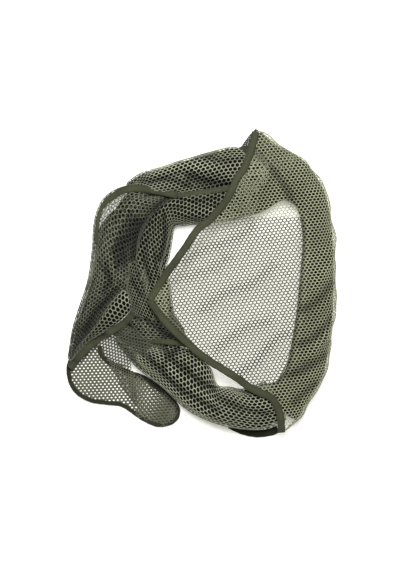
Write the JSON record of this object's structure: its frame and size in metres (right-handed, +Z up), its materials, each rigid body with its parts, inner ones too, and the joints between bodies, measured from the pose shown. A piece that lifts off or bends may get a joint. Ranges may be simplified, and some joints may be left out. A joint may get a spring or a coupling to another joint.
{
  "type": "camo face mask",
  "caption": "Olive net face scarf with taped edges, wound into a knotted ring, one corner of the cloth lying across the opening as a face panel.",
  "frame": {"origin": "middle of the whole object's box in plan, on the table it lies on", "axes": "+Z up from the table, +Y along the ring's longer side towards the face panel's peak, +X towards the side where the face cloth turns down"},
  "size_m": [0.3299, 0.3703, 0.0463],
  "materials": {
    "net_lit": "matte open net, lit lays",
    "net_deep": "matte open net, many lays deep",
    "net_single": "matte open net, a single lay",
    "edge_tape": "matte woven tape",
    "edge_tape_shaded": "matte woven tape in shade"
  },
  "bodies": {
    "ring": {"top_roll": "net_lit", "inner_roll": "net_lit", "lower_roll": "net_lit", "knot": "net_lit", "face_side": "net_lit", "right_roll": "net_deep", "left_lay": "net_deep", "cross_lay": "net_deep", "peak_fold": "net_deep", "under_lay": "net_deep", "knot_strip": "net_single", "tape_left_lay": "edge_tape", "tape_crease": "edge_tape", "tape_diagonal": "edge_tape", "tape_cross": "edge_tape", "tape_tail_corner": "edge_tape_shaded", "tape_under": "edge_tape_shaded"},
    "face": {"face_panel": "net_single", "tape_face_upper": "edge_tape", "tape_face_lower": "edge_tape"},
    "tail": {"tail_end": "net_single", "tail_lobe": "net_single", "tail_pleat": "net_deep", "tape_tail": "edge_tape_shaded"}
  },
  "joints": [
    {"name": "face_lift", "type": "hinge", "parent": "ring", "child": "face", "pos_m": [0.0877, 0.004, 0.0464], "axis": [-0.0891, 0.996, 0], "range_deg": [0, 110]},
    {"name": "tail_lift", "type": "hinge", "parent": "ring", "child": "tail", "pos_m": [-0.1395, -0.0894, 0.0033], "axis": [-0.7014, -0.7128, 0], "range_deg": [0, 80]}
  ]
}
